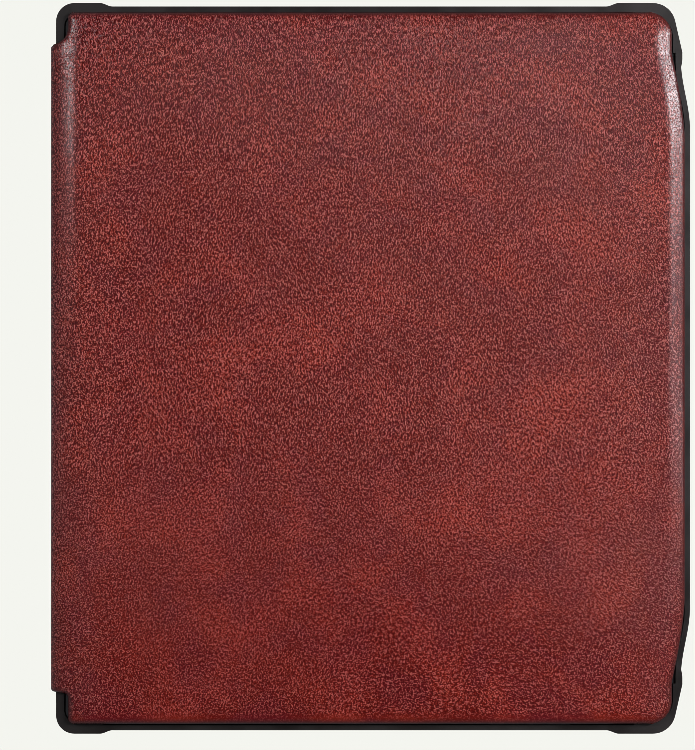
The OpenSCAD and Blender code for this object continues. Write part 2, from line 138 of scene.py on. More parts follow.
def make_world():
    """Soft light from all round, dark straight overhead. The camera sees the pale background instead."""
    world = bpy.data.worlds.new("studio")
    bpy.context.scene.world = world
    world.use_nodes = True
    tree = world.node_tree
    tree.nodes.clear()
    out = tree.nodes.new("ShaderNodeOutputWorld")
    mix = tree.nodes.new("ShaderNodeMixShader")
    path = tree.nodes.new("ShaderNodeLightPath")
    fill = tree.nodes.new("ShaderNodeBackground")
    seen = tree.nodes.new("ShaderNodeBackground")
    seen.inputs["Color"].default_value = PALE
    fill.inputs["Color"].default_value = SKY
    place = tree.nodes.new("ShaderNodeTexCoord")
    parts = tree.nodes.new("ShaderNodeSeparateXYZ")
    strength = tree.nodes.new("ShaderNodeMapRange")
    tree.links.new(place.outputs["Generated"], parts.inputs[0])
    tree.links.new(parts.outputs["Z"], strength.inputs["Value"])
    for key, value in SKY_FALL.items():
        strength.inputs[key].default_value = value
    tree.links.new(strength.outputs["Result"], fill.inputs["Strength"])
    tree.links.new(path.outputs["Is Camera Ray"], mix.inputs["Fac"])
    tree.links.new(fill.outputs[0], mix.inputs[1])
    tree.links.new(seen.outputs[0], mix.inputs[2])
    tree.links.new(mix.outputs[0], out.inputs["Surface"])


bpy.context.scene.view_settings.view_transform = "Standard"
bpy.context.scene.cycles.filter_width = 0.6
make_camera()
make_stage()
make_world()
STRIP_HEIGHT = 0.58                        # how high the strip lights hang over the object
area_light("left_strip", (-0.49, 0.19, STRIP_HEIGHT), (0.06, 0.42), 1.35, (1.0, 0.95, 0.97), (-0.05, 0.05, 0))
# The strips on the right: name, place up the page, length and power
RIGHT_STRIPS = (
    ("right_strip", 0.19, 0.42, 3.3),
    ("right_middle", 0.12, 0.42, 1.2),
    ("right_fill", -0.02, 0.56, 0.60),
)
for title, up_page, length, power in RIGHT_STRIPS:
    area_light(title, (0.50, up_page, STRIP_HEIGHT), (0.05, length), power, (1.0, 0.95, 0.98), (0.05, 0.05, 0))

# ---------------------------------------------------------------- materials


class Shade:
    """A material's node tree, with short calls for the nodes used here."""

    def __init__(self, name, roughness=0.5, metallic=0.0, specular=0.5):
        self.material = bpy.data.materials.new(name)
        self.material.use_nodes = True
        self.tree = self.material.node_tree
        self.tree.nodes.clear()
        self.out = self.node("ShaderNodeOutputMaterial")
        self.bsdf = self.node("ShaderNodeBsdfPrincipled")
        self.tree.links.new(self.bsdf.outputs[0], self.out.inputs["Surface"])
        self.set("Roughness", roughness)
        self.set("Metallic", metallic)
        self.set("Specular IOR Level", specular)

    def node(self, kind, **values):
        made = self.tree.nodes.new(kind)
        for key, value in values.items():
            setattr(made, key, value)
        return made

    def set(self, socket, value):
        self.bsdf.inputs[socket].default_value = value

    def link(self, output, socket):
        self.tree.links.new(output, self.bsdf.inputs[socket])

    def feed(self, made, **inputs):
        """Sets a node's inputs by name: a socket is linked, a number or colour is its value."""
        for key, value in inputs.items():
            target = made.inputs[key.replace("_", " ")]
            if isinstance(value, bpy.types.NodeSocket):
                self.tree.links.new(value, target)
            else:
                target.default_value = value
        return made

    def place(self, scale=(1, 1, 1), attribute=None):
        """Coordinates in millimetres times scale, from the object or from a stored attribute."""
        if attribute:
            source = self.node("ShaderNodeAttribute", attribute_name=attribute).outputs["Vector"]
        else:
            source = self.node("ShaderNodeTexCoord").outputs["Object"]
        mapping = self.node("ShaderNodeMapping")
        self.tree.links.new(source, mapping.inputs["Vector"])
        mapping.inputs["Scale"].default_value = [s / MM for s in scale]
        return mapping.outputs["Vector"]

    def noise(self, where, scale, detail=3.0, roughness=0.5, distortion=0.0):
        made = self.feed(self.node("ShaderNodeTexNoise"), Vector=where, Scale=scale, Detail=detail,
                         Roughness=roughness, Distortion=distortion)
        return made.outputs["Fac"]

    def cells(self, where, scale):
        """Distance to the nearest edge of a net of cells."""
        made = self.node("ShaderNodeTexVoronoi", feature="DISTANCE_TO_EDGE")
        self.feed(made, Vector=where, Scale=scale)
        return made.outputs["Distance"]

    def math(self, operation, a, b=0.0, clamp=False):
        made = self.node("ShaderNodeMath", operation=operation, use_clamp=clamp)
        for i, value in enumerate((a, b)):
            if isinstance(value, bpy.types.NodeSocket):
                self.tree.links.new(value, made.inputs[i])
            else:
                made.inputs[i].default_value = value
        return made.outputs[0]

    def span(self, value, low, high, to_low=0.0, to_high=1.0):
        """Carries value smoothly from the range low to high over to the range to_low to to_high."""
        made = self.node("ShaderNodeMapRange", interpolation_type="SMOOTHSTEP")
        self.tree.links.new(value, made.inputs["Value"])
        for key, number in (("From Min", low), ("From Max", high), ("To Min", to_low), ("To Max", to_high)):
            made.inputs[key].default_value = number
        return made.outputs["Result"]

    def blend(self, share, a, b):
        """Mix of two colours by share."""
        made = self.node("ShaderNodeMix", data_type="RGBA", blend_type="MIX")
        for index, value in ((0, share), (6, a), (7, b)):
            if isinstance(value, bpy.types.NodeSocket):
                self.tree.links.new(value, made.inputs[index])
            elif index == 0:
                made.inputs[index].default_value = value
            else:
                made.inputs[index].default_value = (*value, 1)
        return made.outputs[2]

    def bump(self, height, distance, strength):
        made = self.node("ShaderNodeBump")
        self.feed(made, Height=height, Distance=distance * MM, Strength=strength)
        self.link(made.outputs["Normal"], "Normal")
        return made


def leather():
    """Grained red-brown leather: light ridges with a painted highlight round dark pores with painted shade,
    under warm and purple clouds.
    """
    red, purple, thin_dye = (0.130, 0.0050, 0.0025), (0.118, 0.0049, 0.0080), (0.245, 0.0200, 0.0100)
    # The ridges' pale colour is a painted highlight; the pores' dark colour and the edge colour are painted
    # shade.
    crest_glint, pore_shade, edge_shade = (0.93, 0.26, 0.225), (0.056, 0.0002, 0.0002), (0.030, 0.0040, 0.0030)
    s = Shade("leather", specular=0.03)
    flat = s.place((1, 1, 1), "flat")
    grain = s.place((1, 1, 1), "grain")
    tone = s.node("ShaderNodeAttribute", attribute_name="tone").outputs["Fac"]
    calm = s.node("ShaderNodeAttribute", attribute_name="calm").outputs["Fac"]
    edge = s.node("ShaderNodeAttribute", attribute_name="edge").outputs["Fac"]
    curve = s.node("ShaderNodeAttribute", attribute_name="curve").outputs["Fac"]
    net = s.cells(grain, 1.35)
    creases = s.noise(grain, 2.1, 1.5, 0.55)
    speck = s.noise(grain, 4.6, 1.0, 0.6)
    strength = s.span(s.math("MAXIMUM", calm, edge), 0.0, 1.0, 1.0, 0.25)
    ridge = s.math("MULTIPLY", s.span(net, 0.02, 0.10, 1.0, 0.0), s.span(speck, 0.45, 0.60))
    relief = s.math("ADD", s.math("MULTIPLY", creases, 0.6), s.math("MULTIPLY", speck, 0.4))

    clouds = s.noise(flat, 0.085, 3, 0.55, 0.6)
    patches = s.noise(flat, 0.075, 3, 0.55, 0.3)
    base = s.blend(s.span(clouds, 0.42, 0.60), red, purple)
    warm = s.math("ADD", s.span(patches, 0.40, 0.70, -0.30, 0.50), tone, clamp=True)
    base = s.blend(warm, base, thin_dye)
    crest = s.blend(0.44, base, crest_glint)
    # Dark pores: painted shade in the grain's pits; the same mask also sinks them in the bump and roughens
    # them.
    pore = s.math("MULTIPLY", s.span(relief, 0.515, 0.465), strength)
    base = s.blend(pore, base, pore_shade)
    # Light ridges: painted highlight standing in for the grain's glints.
    light = s.math("MULTIPLY", s.math("MAXIMUM", ridge, s.span(relief, 0.55, 0.60)), strength)
    base = s.blend(light, base, crest)
    # Painted shade along the free edges and under the hem.
    base = s.blend(s.math("MULTIPLY", edge, 0.75), base, edge_shade)
    s.link(base, "Base Color")
    height = s.math("ADD", s.math("SUBTRACT", 1.0, pore), s.math("MULTIPLY", ridge, 0.25))
    height = s.math("MULTIPLY", height, s.span(curve, 0.0, 1.0, 0.3, 1.6))
    bump = s.bump(height, 0.034, 1.0)
    s.link(bump.outputs["Normal"], "Coat Normal")
    s.set("Coat Weight", 0.8)
    s.set("Coat Roughness", 0.18)
    s.link(s.span(pore, 0.0, 1.0, 0.45, 0.62), "Roughness")
    return s.material


def moulded(name, colour, roughness, grain=1.6, depth=0.02, lift=0.25):
    """Moulded plastic or rubber: spark-eroded grain, slight handling shine and colour drift."""
    s = Shade(name, specular=0.45)
    where = s.place()
    drift = s.noise(where, 0.06, 3)
    grit = s.noise(where, grain, 3, 0.6)
    lighter = tuple(min(1, c * (1 + lift) + 0.004) for c in colour)
    base = s.blend(s.span(drift, 0.35, 0.65), colour, lighter)
    base = s.blend(s.span(grit, 0.35, 0.7, 0.0, 0.3), base, lighter)
    s.link(base, "Base Color")
    s.link(s.span(s.noise(where, 0.15, 4), 0.3, 0.7, roughness - 0.06, roughness + 0.08), "Roughness")
    s.bump(grit, depth, 0.6)
    return s.material


def metal(name, colour, roughness, stretch=(1, 1, 1), depth=0.01):
    """Metal with a drawn or blasted surface and faint tarnish."""
    s = Shade(name, metallic=1.0)
    where = s.place(stretch)
    scratches = s.noise(where, 2.5, 4, 0.65)
    tarnish = s.noise(s.place(), 0.12, 3)
    duller = tuple(c * 0.72 for c in colour)
    s.link(s.blend(s.span(tarnish, 0.35, 0.7, 0.0, 0.6), colour, duller), "Base Color")
    s.link(s.span(scratches, 0.3, 0.7, roughness - 0.05, roughness + 0.12), "Roughness")
    s.bump(scratches, depth, 0.5)
    return s.material


def microfibre():
    """Short brushed nap, lighter where it is stroked."""
    s = Shade("microfibre", roughness=0.95, specular=0.15)
    where = s.place()
    nap = s.noise(s.place((1, 0.5, 1)), 3.2, 4, 0.7)
    stroke = s.noise(where, 0.04, 4, 0.55, 0.8)
    base = s.blend(s.span(stroke, 0.38, 0.62), (0.105, 0.086, 0.076), (0.148, 0.124, 0.112))
    base = s.blend(s.span(nap, 0.35, 0.68, 0.0, 0.7), base, (0.19, 0.165, 0.15))
    s.link(base, "Base Color")
    s.set("Sheen Weight", 0.35)
    s.set("Sheen Roughness", 0.45)
    s.bump(nap, 0.06, 0.7)
    return s.material


def screen():
    """Etched anti-glare face over a paper-white display that shows an empty page."""
    s = Shade("screen_surface", roughness=0.55, specular=0.35)
    where = s.place()
    fibre = s.noise(where, 4.0, 3, 0.6)
    drift = s.noise(where, 0.02, 2)
    base = s.blend(s.span(drift, 0.3, 0.7), (0.60, 0.60, 0.565), (0.645, 0.645, 0.61))
    base = s.blend(s.span(fibre, 0.3, 0.7, 0.0, 0.16), base, (0.50, 0.50, 0.47))
    s.link(base, "Base Color")
    s.link(s.span(fibre, 0.3, 0.7, 0.46, 0.62), "Roughness")
    s.bump(fibre, 0.006, 0.5)
    return s.material


def circuit_board():
    """Solder mask with faint tracks under it."""
    s = Shade("circuit_board", roughness=0.35)
    where = s.place()
    tracks = s.feed(s.node("ShaderNodeTexBrick"), Vector=where, Scale=0.4, Mortar_Size=0.05)
    tracks.inputs["Color1"].default_value = (0.010, 0.075, 0.038, 1)
    tracks.inputs["Color2"].default_value = (0.012, 0.090, 0.045, 1)
    tracks.inputs["Mortar"].default_value = (0.030, 0.170, 0.080, 1)
    grime = s.span(s.noise(where, 0.3, 4), 0.35, 0.7, 0.0, 0.35)
    s.link(s.blend(grime, tracks.outputs["Color"], (0.008, 0.05, 0.03)), "Base Color")
    s.link(s.span(s.noise(where, 1.0, 3), 0.3, 0.7, 0.28, 0.45), "Roughness")
    s.bump(tracks.outputs["Fac"], 0.02, 0.5)
    return s.material


def fibreboard():
    """Grey-brown pressed board with short fibres."""
    s = Shade("board", roughness=0.9, specular=0.2)
    where = s.place()
    fibre = s.noise(s.place((0.4, 1.6, 1)), 1.2, 5, 0.7)
    s.link(s.blend(s.span(fibre, 0.3, 0.7), (0.20, 0.17, 0.135), (0.36, 0.32, 0.27)), "Base Color")
    s.link(s.span(s.noise(where, 0.5), 0.3, 0.7, 0.82, 0.96), "Roughness")
    s.bump(fibre, 0.04, 0.6)
    return s.material


def clear(name, colour):
    """Clear acrylic with fine handling marks."""
    s = Shade(name, roughness=0.12)
    where = s.place()
    marks = s.noise(where, 1.5, 4, 0.7)
    s.set("Alpha", 0.45)
    s.link(s.blend(s.span(marks, 0.3, 0.7, 0.0, 0.4), colour, tuple(c * 0.85 for c in colour)), "Base Color")
    s.link(s.span(marks, 0.3, 0.7, 0.08, 0.24), "Roughness")
    s.bump(marks, 0.004, 0.4)
    return s.material


LEATHER = leather()
MICROFIBRE = microfibre()
MATERIALS = {
    "leather": LEATHER,
    "microfibre": MICROFIBRE,
    "board": fibreboard(),
    "screen_surface": screen(),
    "circuit_board": circuit_board(),
    "clear_plastic": clear("clear_plastic", (0.85, 0.88, 0.88)),
    "tray_plastic": moulded("tray_plastic", (0.0090, 0.0075, 0.0068), 0.36, 1.2, 0.02),
    "housing_plastic": moulded("housing_plastic", (0.016, 0.016, 0.018), 0.62, 2.2, 0.03),
    "bezel_plastic": moulded("bezel_plastic", (0.020, 0.020, 0.022), 0.58, 2.4, 0.02),
    "button_plastic": moulded("button_plastic", (0.026, 0.026, 0.028), 0.45, 2.0, 0.012),
    "adhesive_tape": moulded("adhesive_tape", (0.60, 0.54, 0.40), 0.75, 0.8, 0.03),
    "adhesive_black": moulded("adhesive_black", (0.006, 0.006, 0.007), 0.80, 2.0, 0.04),
    "wire": moulded("wire", (0.35, 0.018, 0.014), 0.42, 1.0, 0.01),
    "wire_black": moulded("wire_black", (0.010, 0.010, 0.012), 0.42, 1.0, 0.01),
    "connector_plastic": moulded("connector_plastic", (0.66, 0.60, 0.44), 0.50, 1.2, 0.01),
    "chip": moulded("chip", (0.007, 0.007, 0.008), 0.52, 2.6, 0.015),
    "seal_rubber": moulded("seal_rubber", (0.030, 0.030, 0.033), 0.70, 1.4, 0.02),
    "epaper": moulded("epaper", (0.62, 0.62, 0.58), 0.60, 2.0, 0.01),
    "touch_film": moulded("touch_film", (0.55, 0.60, 0.61), 0.25, 0.6, 0.004),
    "flex": moulded("flex", (0.40, 0.16, 0.025), 0.35, 0.6, 0.01),
    "lamp_strip": moulded("lamp_strip", (0.80, 0.76, 0.60), 0.40, 0.8, 0.01),
    "magnet": metal("magnet", (0.72, 0.73, 0.75), 0.22),
    "shield_metal": metal("shield_metal", (0.62, 0.63, 0.64), 0.34, (0.2, 1, 1)),
    "antenna_metal": metal("antenna_metal", (0.75, 0.55, 0.25), 0.30),
    "port_metal": metal("port_metal", (0.66, 0.67, 0.69), 0.26, (1, 0.2, 1)),
    "screw_steel": metal("screw_steel", (0.48, 0.49, 0.50), 0.35),
    "frame_metal": metal("frame_metal", (0.50, 0.51, 0.53), 0.48),
    "battery_foil": metal("battery_foil", (0.20, 0.21, 0.23), 0.38, (1, 1, 1), 0.04),
}

# ---------------------------------------------------------------- the CAD nodes that show as they are

BEVELS = {
    "case_shell": 0.38, "rear_housing": 0.45, "front_bezel": 0.22, "page_forward_button": 0.30,
    "page_back_button": 0.30, "power_button": 0.25, "usb_port": 0.08, "battery": 0.3, "screen_glass": 0.05,
    "processor_shield": 0.12, "memory_chip": 0.08, "processor_chip": 0.08, "radio_module": 0.1,
    "board_connectors": 0.08, "mid_frame": 0.1,
}


def soften(node, width):
    """Rounds a CAD node's sharp edges with modifiers, which leave its mesh alone."""
    thing = NODES[node]
    thing.modifiers.new("weld", "WELD").merge_threshold = 1e-6
    bevel = thing.modifiers.new("round", "BEVEL")
    bevel.width = width * MM
    bevel.segments = 3
    bevel.limit_method = "ANGLE"
    bevel.angle_limit = math.radians(35)
    normals = thing.modifiers.new("normals", "WEIGHTED_NORMAL")
    normals.keep_sharp = True


def dress_nodes():
    """Gives every CAD node the material of its slot, and softens the ones that need it."""
    slots = {row["node"]: row["material_slot"] for row in frame["record"]["subparts"]}
    for name, thing in NODES.items():
        thing.data.materials.clear()
        thing.data.materials.append(MATERIALS[slots[name]])
    for name, width in BEVELS.items():
        soften(name, width)


dress_nodes()

# ---------------------------------------------------------------- leather skins

SPINE_X = SPINE_LOW[0]                     # outside of the spine
SPINE_END = SPINE_HIGH[1] + 0.05
SPINE_T = SPINE_HIGH[0] - SPINE_LOW[0]
SPINE_JOIN = 6.0                           # height on the spine where the front and back skins meet
OUTLINE_STEP = 0.12                        # distance between the points that trace a skin's free edge
HOLLOW_STEP = 0.08                         # the same in the hollow corners by the spine
PAST_JOIN = 3                              # how far the traced edge runs on past the join
ON_LINE = 1e-6                             # rows this close to a line count as lying on it


def smooth(t):
    """Eased step from 0 to 1 while t goes from 0 to 1."""
    t = np.clip(t, 0, 1)
    return t * t * (3 - 2 * t)


def corner(away, radius):
    """How far an outline has come in at a round corner, away being the distance left to the edge."""
    inside = np.clip(radius - away, 0, radius)
    return radius - np.sqrt(np.maximum(radius ** 2 - inside ** 2, 0))


def graded(low, high, step, fine_low=0.0, fine_high=0.0, steps=9):
    """Numbers from low to high about step apart, closer together towards an end that is to be rounded."""
    count = max(2, round((high - low - fine_low - fine_high) / step) + 1)
    parts = [np.linspace(low + fine_low, high - fine_high, count)]
    if fine_low:
        parts.insert(0, low + fine_low * (1 - np.cos(np.linspace(0, math.pi / 2, steps)))[:-1])
    if fine_high:
        parts.append(high - fine_high * (1 - np.cos(np.linspace(math.pi / 2, 0, steps)))[1:])
    return np.concatenate(parts)


# Warm patches where the dye is thinner: centre, half widths along and across, turn in degrees, strength
PATCHES = (
    (57, 33, 16, 8, 40, 0.40), (38, 28, 14, 8, 30, 0.18), (-6, 11, 24, 7, 28, 0.34),
    (-40, -4, 16, 9, 15, 0.26), (42, -11, 17, 10, -10, 0.42), (20, -29, 15, 8, 15, 0.40),
    (50, -31, 12, 7, 0, 0.28), (6, 63, 15, 9, 0, 0.30), (-28, 60, 9, 12, 0, 0.10),
    (-18, -52, 20, 5, 20, 0.16), (22, -66, 18, 4, -8, 0.12), (34, 58, 14, 8, 10, 0.10),
)


PATCH_GAIN = 1.5
TONE = 0.17                                # warmth of the dye half way up the flap
TONE_FALL = 0.0010                         # and how much of it each millimetre upwards takes away


def tone_at(places):
    """How warm and light the dye is at each place on the flat leather."""
    total = TONE - TONE_FALL * places[:, 1]
    for x, y, along, across, turn, strength in PATCHES:
        c, s = math.cos(math.radians(turn)), math.sin(math.radians(turn))
        dx, dy = places[:, 0] - x, places[:, 1] - y
        u, v = (dx * c + dy * s) / along, (dy * c - dx * s) / across
        total = total + PATCH_GAIN * strength * np.exp(-(u * u + v * v))
    return total


def grain_at(places):
    """Coordinates that run with the grain: upright at the top, slanting to the right, finer low down."""
    x, y = places[:, 0], places[:, 1]
    low = smooth((-y - 30) / 35)
    across = x * (1.35 - 0.20 * low) + 0.38 * y * smooth((x + 15) / 80)
    across = across + 2.2 * np.sin(y / 19 + 0.4) + 1.2 * np.sin(x / 13 + y / 31)
    along = 0.60 * y - 0.12 * np.clip(y - 45, 0, None) - 0.18 * np.clip(-y - 22, 0, None)
    along = along + 0.8 * np.sin(x / 17)
    return np.stack([across, along, places[:, 2]], axis=1)


def calm_at(places):
    """How far the grain is flattened, with its painted highlight and shade: a little low down, fully at the
    bottom hem and under the edges.
    """
    low = 0.35 * smooth((-20 - places[:, 1]) / 45)
    hem = smooth((FLAP_LOW[1] + 4.0 - places[:, 1]) / 3.2)
    return np.maximum(low, np.maximum(hem, smooth((places[:, 2] - 0.2) / 0.6)))


class Skin:
    """One sheet of leather. It lies flat from its fold to the right edge. To the left of the fold it turns a
    quarter circle and runs along the spine. p is measured across the sheet and y up it, in millimetres."""

    def __init__(self, name, face, up, fold_r, left, low, high, right, corners, fillets, rim, thick, hem,
                 roll, uneven):
        self.name, self.face, self.up, self.fold_r, self.left = name, face, up, fold_r, left
        self.low, self.high, self.mid, self.half = low, high, (low + high) / 2, (high - low) / 2
        self.right_line, self.corners, self.fillets = right, corners, fillets
        self.rim, self.thick, self.hem, self.roll, self.uneven = rim, thick, hem, roll, uneven
        self.fold = SPINE_X + fold_r
        self.quarter = math.pi / 2 * fold_r
        self.join = self.fold - self.quarter - (abs(face - SPINE_JOIN) - fold_r)
        self.tree, self.inward = self.edge_tree()

    def right_edge(self, y):
        off = np.abs(y - self.mid)
        return self.right_line(off) - corner(self.half - off, self.corners[1])

    def left_edge(self, y):
        """Left edge above and below the spine, with the hollow corner that leads into the spine's end."""
        start, width = self.fillets[y > 0]
        v = np.clip((start - abs(y)) / (start - SPINE_END), 0, 1)
        round_in = corner(self.half - abs(y - self.mid), self.corners[0])
        return self.left + round_in - width * (1 - math.sqrt(1 - v * v))

    def wrap(self, p):
        """Where the outer face is at p: x, z, and the normal's x and z."""
        turn = np.clip((self.fold - p) / self.fold_r, 0, math.pi / 2)
        down = np.clip(self.fold - p - self.quarter, 0, None)
        x = np.where(p > self.fold, p, self.fold - self.fold_r * np.sin(turn))
        z = self.face - self.up * (self.fold_r * (1 - np.cos(turn)) + down)
        return x, z, -np.sin(turn), self.up * np.cos(turn)

    def on_spine(self, p):
        return smooth((self.left - p) / 2.0)

    def sag(self, p):
        """The sheet starts to turn before its fold, and is back on the spine's face at the end of it."""
        depth, width = 0.36, 3.4
        t = np.clip((self.fold - p) / self.quarter, 0, 1)
        slope = 2 * depth / width * self.quarter
        turned = depth * (2 * t ** 3 - 3 * t ** 2 + 1) + slope * (t ** 3 - 2 * t ** 2 + t)
        return np.where(p > self.fold, depth * np.clip(1 - (p - self.fold) / width, 0, 1) ** 2, turned)

    def drop(self, p, y, d):
        """How far the face has sunk at distance d from the free edge."""
        on_spine = self.on_spine(p)
        radius = self.rim[0] + (self.rim[1] - self.rim[0]) * on_spine
        inside = np.clip(radius - d, 0, radius)
        rolled = radius - np.sqrt(np.maximum(radius ** 2 - inside ** 2, 0))
        soft_depth, soft_reach = 0.22, 5.0
        soft = soft_depth * self.uneven * np.clip(1 - d / soft_reach, 0, 1) ** 2 * (1 - on_spine)
        off = np.clip(1 - (self.right_edge(y) - p) / self.roll[0], 0, 1)
        right = self.roll[1] * (1 - np.sqrt(1 - off ** 2)) * (1 - smooth(1 - d / radius))
        left = self.uneven * self.sag(p)
        wave = 0.030 * np.sin(p / 9.1 + 0.7 * np.sin(y / 17.3)) * np.cos(y / 12.7 + 1.1) \
            + 0.018 * np.sin(p / 4.3 + y / 6.1 + 2.0) * np.sin(y / 5.2 - p / 11.0)
        return rolled + soft + right + left - self.uneven * wave * smooth(d / 3)

    def outline(self):
        """The free edge as points (p, y), from the spine's top end round the sheet to its bottom end."""
        up = np.arange(self.low, self.high, OUTLINE_STEP)
        right = [(self.right_edge(y), y) for y in up] + [(float(self.right_edge(self.high)), self.high)]
        across = np.arange(self.left_edge(self.high), self.right_edge(self.high), 0.15)[1:]
        upper = [(self.left_edge(y), y) for y in np.arange(SPINE_END, self.high, HOLLOW_STEP)]
        lower = [(self.left_edge(y), y) for y in -np.arange(SPINE_END, -self.low, HOLLOW_STEP)]
        start = self.join - PAST_JOIN
        top_end = [(p, SPINE_END) for p in np.arange(start, self.left_edge(SPINE_END), OUTLINE_STEP)]
        low_end = [(p, -SPINE_END) for p in np.arange(start, self.left_edge(-SPINE_END), OUTLINE_STEP)]
        top = [(p, self.high) for p in across]
        bottom = [(p, self.low) for p in across]
        return np.array(top_end + upper + top + right[::-1] + bottom[::-1] + lower[::-1] + low_end[::-1])

    def edge_tree(self):
        """A search tree over the free edge, with the direction that points inwards at each of its points."""
        points = self.outline()
        before = np.concatenate([points[:1], points[:-1]])
        after = np.concatenate([points[1:], points[-1:]])
        along = after - before
        along /= np.linalg.norm(along, axis=1)[:, None]
        tree = KDTree(len(points))
        for i, (p, y) in enumerate(points):
            tree.insert((p, y, 0), i)
        tree.balance()
        return tree, np.stack([along[:, 1], -along[:, 0]], axis=1)

    def distance(self, p, y):
        """Distance to the free edge, measured square to it, so that it doesn't step from point to point."""
        slack = 0.08
        nearest, index, away = self.tree.find((p, y, 0))
        square = (p - nearest[0]) * self.inward[index][0] + (y - nearest[1]) * self.inward[index][1]
        return max(0.0, square, away - slack)

    def flat_grid(self):
        """The flat sheet as blocks of quads that share their edges once merged."""
        starts = {side: self.fillets[side][0] for side in (True, False)}
        rows = np.concatenate([
            graded(self.low, -starts[False], 0.6, fine_low=1.9), graded(-starts[False], -SPINE_END, 0.35)[1:],
            graded(-SPINE_END, SPINE_END, 0.62, 1.4, 1.4, 6)[1:], graded(SPINE_END, starts[True], 0.35)[1:],
            graded(starts[True], self.high, 0.6, fine_high=1.9)[1:]])
        share = graded(0, 1, 0.0046, 0.03, 0.045, 9)
        wing = np.linspace(0, 1, 11)
        middle = rows[(rows > -SPINE_END - ON_LINE) & (rows < SPINE_END + ON_LINE)]
        widths = [self.fillets[False][1], self.fillets[True][1]]

        def far(y):
            return self.left - np.interp(y, [-SPINE_END, SPINE_END], widths)

        def flat_columns(y):
            left = max(self.left_edge(y), self.left) if abs(y) > SPINE_END else self.left
            return left + (self.right_edge(y) - left) * share

        def wing_columns(y):
            return self.left_edge(y) + (self.left - self.left_edge(y)) * wing

        blocks = [
            (rows, flat_columns),
            (middle, lambda y: far(y) + (self.left - far(y)) * wing),
            (middle, lambda y: np.linspace(self.join, far(y), 12)),
            (rows[(rows >= SPINE_END - ON_LINE) & (rows <= starts[True] + ON_LINE)], wing_columns),
            (rows[(rows <= -SPINE_END + ON_LINE) & (rows >= -starts[False] - ON_LINE)], wing_columns)]
        points, faces = [], []
        for block_rows, columns in blocks:
            first, count = len(points), len(columns(block_rows[0]))
            for y in block_rows:
                points.extend((p, y, 0.0) for p in columns(y))
            faces.extend(grid_faces(first, len(block_rows), count))
        return points, faces

    def build(self):
        """The finished skin as a mesh object."""
        shape = bmesh.new()
        key = shape.verts.layers.float_vector.new("flat")
        points, faces = self.flat_grid()
        verts = [shape.verts.new(p) for p in points]
        for vert in verts:
            vert[key] = vert.co
        for face in faces:
            shape.faces.new([verts[i] for i in face])
        bmesh.ops.remove_doubles(shape, verts=shape.verts, dist=0.002)
        bmesh.ops.dissolve_degenerate(shape, edges=shape.edges, dist=0.0005)
        border = [edge for edge in shape.edges if edge.is_boundary]
        rim = [edge for edge in border if not all(abs(v.co.x - self.join) < 0.01 for v in edge.verts)]
        self.seat(shape)
        self.turn_under(shape, key, rim)
        bmesh.ops.recalc_face_normals(shape, faces=shape.faces)
        return self.finish_mesh(shape)

    def seat(self, shape):
        """Moves the flat sheet's vertices to their places."""
        co = np.array([v.co for v in shape.verts])
        p, y = co[:, 0], co[:, 1]
        d = np.array([self.distance(a, b) for a, b in zip(p, y)])
        x, z, nx, nz = self.wrap(p)
        depth = self.drop(p, y, d)
        for vert, place in zip(shape.verts, np.stack([x - nx * depth, y, z - nz * depth], axis=1)):
            vert.co = place

    def turn_under(self, shape, key, rim):
        """Takes the free edge down through the sheet's thickness and under it."""
        ring = {vert: (vert[key][0], vert[key][1]) for edge in rim for vert in edge.verts}
        above = {vert: vert for vert in ring}
        for share, inset in self.hem:
            below = {}
            for vert, (p, y) in ring.items():
                m = self.inward[self.tree.find((p, y, 0))[1]]
                x, z, nx, nz = (float(a) for a in self.wrap(np.float64(p)))
                thick = self.thick + (SPINE_T - self.thick) * float(self.on_spine(p))
                start = min(float(self.drop(np.float64(p), np.float64(y), 0.0)), thick)
                depth = start + (thick - start) * share
                step = m[0] * inset
                below[vert] = shape.verts.new((x - nx * depth + abs(nz) * step, y + m[1] * inset,
                                               z - nz * depth - self.up * nx * step))
                below[vert][key] = (p + step, y + m[1] * inset, depth)
            for edge in rim:
                a, b = edge.verts
                shape.faces.new((above[a], above[b], below[b], below[a]))
            above = below

    def finish_mesh(self, shape):
        """Mesh object with the grain, dye and hem attributes that the leather reads; the hem one paints shade
        along the free edges.
        """
        mesh = bpy.data.meshes.new(self.name)
        for vert in shape.verts:
            vert.co *= MM
        shape.to_mesh(mesh)
        shape.free()
        stored = mesh.attributes["flat"]
        places = np.zeros(len(mesh.vertices) * 3, np.float32)
        stored.data.foreach_get("vector", places)
        stored.data.foreach_set("vector", places * MM)
        places = places.reshape(-1, 3)
        # Closeness to the free edge, which paints shade along the hem.
        edge = 1 - smooth(np.array([self.tree.find((p, y, 0))[2] for p, y, _ in places]) / 1.5)
        curve = np.exp(-((places[:, 0] - SPINE_X - 4) / 5) ** 2) \
            + np.exp(-((places[:, 0] - self.right_edge(places[:, 1]) + 2.5) / 3) ** 2)
        found = {"tone": tone_at(places), "calm": calm_at(places), "edge": edge, "curve": curve}
        for kind, numbers in found.items():
            mesh.attributes.new(kind, "FLOAT", "POINT").data.foreach_set("value", numbers.astype(np.float32))
        woven = (grain_at(places) * MM).astype(np.float32).ravel()
        mesh.attributes.new("grain", "FLOAT_VECTOR", "POINT").data.foreach_set("vector", woven)
        made = bpy.data.objects.new(self.name, mesh)
        bpy.context.scene.collection.objects.link(made)
        smooth_shaded(made)
        mesh.materials.append(LEATHER)
        return made


def grid_faces(first, rows, columns):
    """Quads over a block of vertices that starts at index first."""
    return [(first + r * columns + c, first + r * columns + c + 1, first + (r + 1) * columns + c + 1,
             first + (r + 1) * columns + c) for r in range(rows - 1) for c in range(columns - 1)]


def smooth_shaded(thing):
    thing.data.polygons.foreach_set("use_smooth", [True] * len(thing.data.polygons))


